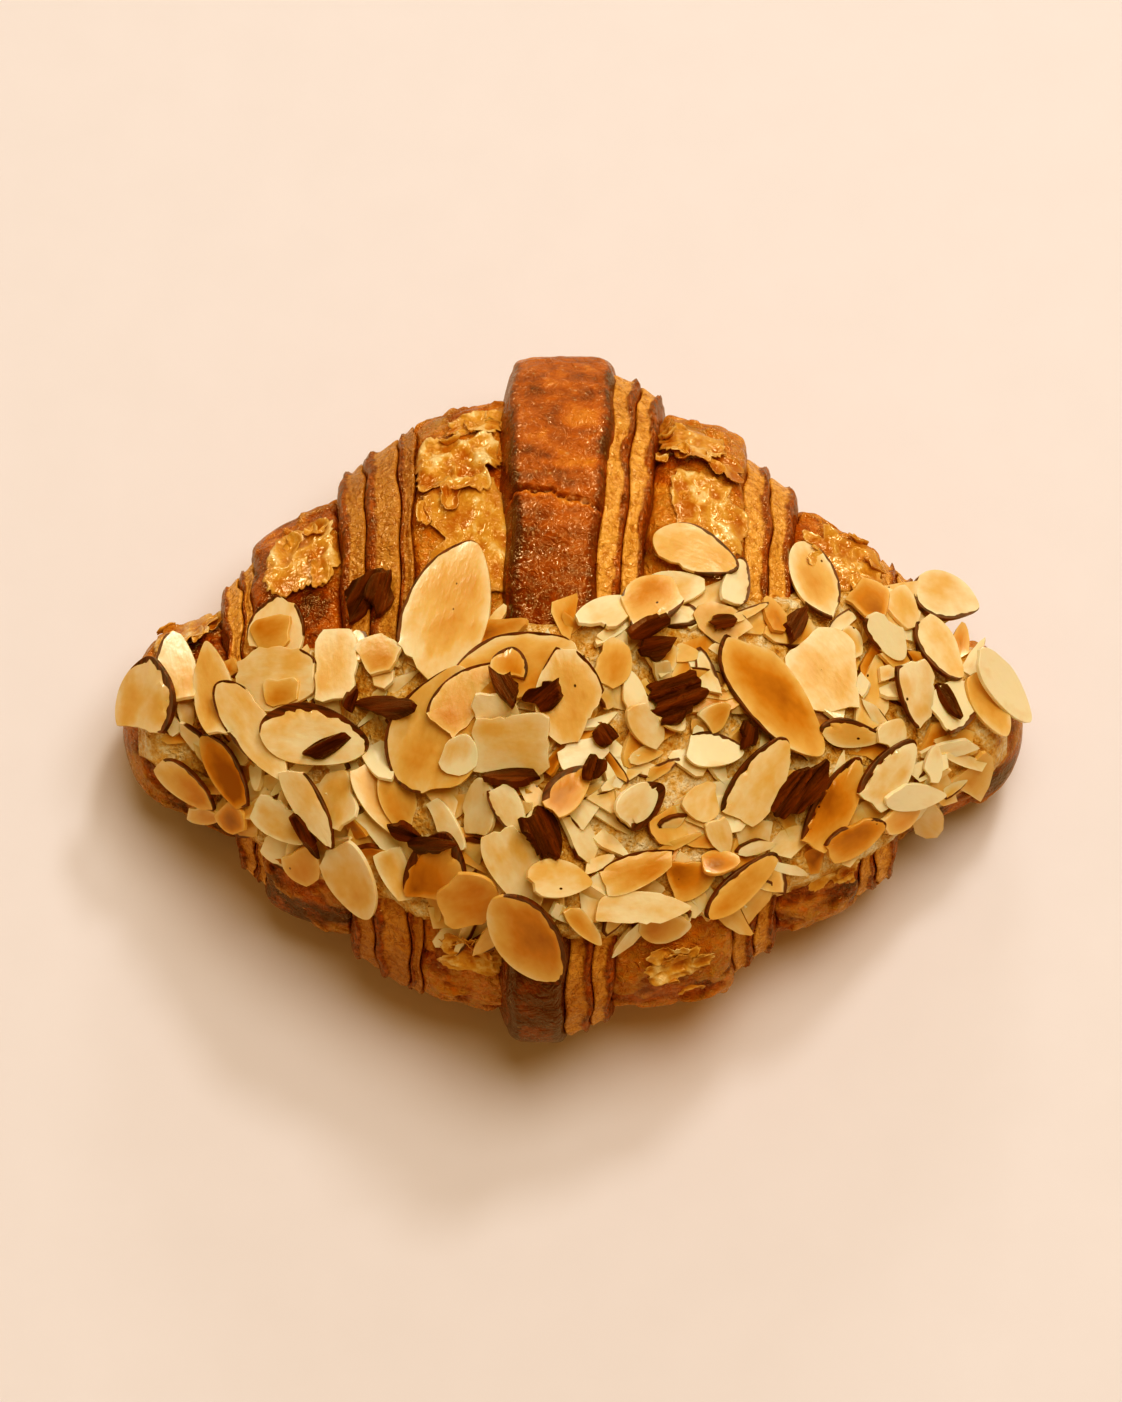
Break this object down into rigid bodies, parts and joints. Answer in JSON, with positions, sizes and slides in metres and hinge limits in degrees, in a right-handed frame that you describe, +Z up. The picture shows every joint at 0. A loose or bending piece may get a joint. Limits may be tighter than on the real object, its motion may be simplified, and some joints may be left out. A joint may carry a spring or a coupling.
{
  "type": "almond croissant",
  "caption": "Almond croissant: a tapered roll of laminated pastry with stepped wraps and a flat base, topped by a baked almond cream band strewn with flaked almonds.",
  "frame": {"origin": "centre of the bounding box, on the base that the roll was baked on", "axes": "+X along the roll from tip to tip, +Y to the back where the plain crust shows, +Z up"},
  "size_m": [0.1534, 0.1181, 0.0644],
  "materials": {
    "crust": "golden-brown baked pastry crust with a soft glaze",
    "almond": "cream-coloured toasted almond flakes on browned almond cream"
  },
  "bodies": {
    "root": {"croissant": "crust", "almond_topping": "almond"}
  },
  "joints": []
}
